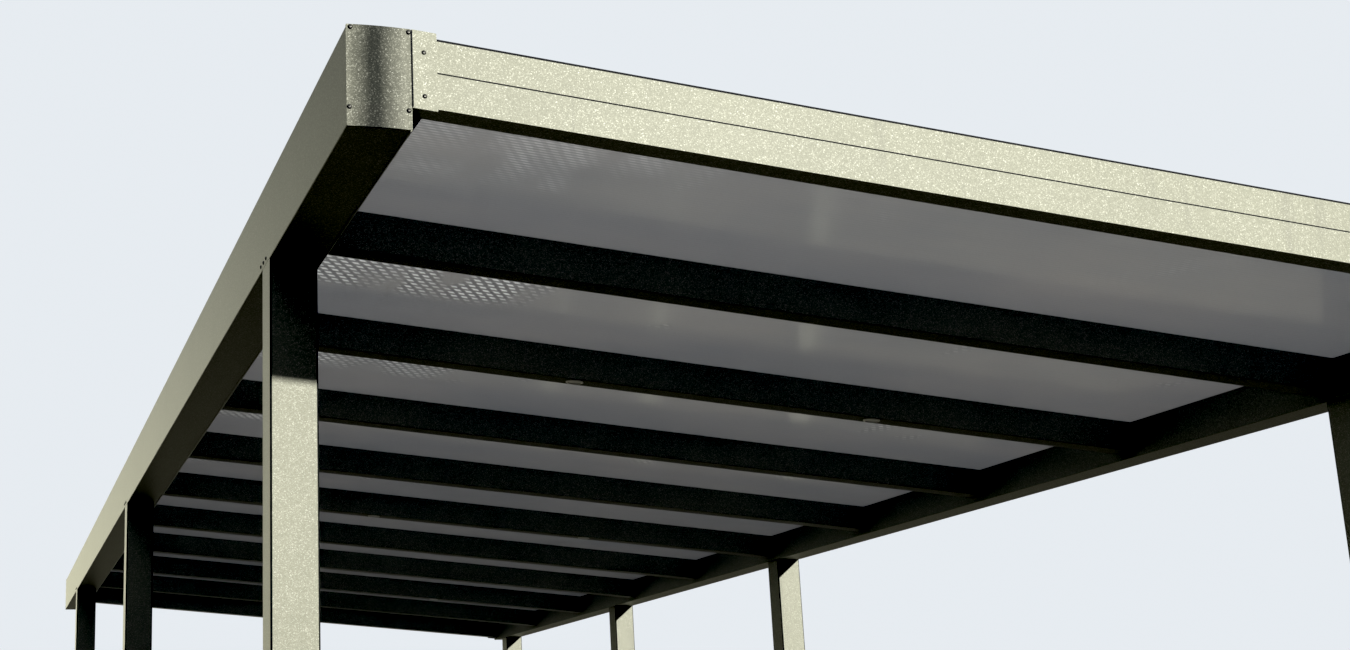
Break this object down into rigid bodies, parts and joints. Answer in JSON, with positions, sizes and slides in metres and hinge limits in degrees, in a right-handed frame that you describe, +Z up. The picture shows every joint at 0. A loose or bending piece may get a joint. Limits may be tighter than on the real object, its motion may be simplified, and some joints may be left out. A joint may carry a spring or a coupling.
{
  "type": "carport",
  "caption": "Open carport: a gently sloping roof of translucent sheets on rafters between side beams, the lower with a built-in gutter, on posts with bolt-down feet.",
  "frame": {"origin": "on the ground, at the middle of the plan", "axes": "+X from the high beam to the low beam, +Y from the front edge to the rear edge, +Z up"},
  "size_m": [3.44, 10.172, 2.918],
  "materials": {
    "frame_coat": "fine textured powder coat with a metallic sparkle",
    "roof_sheet": "translucent multiwall sheet",
    "seal_rubber": "matt",
    "foot_steel": "galvanised"
  },
  "bodies": {
    "root": {"high_beam": "frame_coat", "low_beam": "frame_coat", "gutter_inner_wall": "frame_coat", "gutter_outer_wall": "frame_coat", "gutter_top_rail": "frame_coat", "end_caps": "frame_coat", "corner_covers": "frame_coat", "front_edge_rafter": "frame_coat", "front_upper_cladding": "frame_coat", "front_lower_cladding": "frame_coat", "rear_edge_rafter": "frame_coat", "rear_upper_cladding": "frame_coat", "rear_lower_cladding": "frame_coat", "edge_seals": "seal_rubber", "rafter_1": "frame_coat", "rafter_2": "frame_coat", "rafter_3": "frame_coat", "rafter_4": "frame_coat", "rafter_5": "frame_coat", "rafter_6": "frame_coat", "rafter_7": "frame_coat", "rafter_8": "frame_coat", "rafter_9": "frame_coat", "cover_strips": "frame_coat", "roof_sheet_1": "roof_sheet", "roof_sheet_2": "roof_sheet", "roof_sheet_3": "roof_sheet", "roof_sheet_4": "roof_sheet", "roof_sheet_5": "roof_sheet", "roof_sheet_6": "roof_sheet", "roof_sheet_7": "roof_sheet", "roof_sheet_8": "roof_sheet", "roof_sheet_9": "roof_sheet", "roof_sheet_10": "roof_sheet", "high_front_post": "frame_coat", "high_middle_post": "frame_coat", "high_rear_post": "frame_coat", "low_front_post": "frame_coat", "low_middle_post": "frame_coat", "low_third_post": "frame_coat", "low_rear_post": "frame_coat", "post_feet": "foot_steel", "post_heads": "foot_steel"}
  },
  "joints": []
}
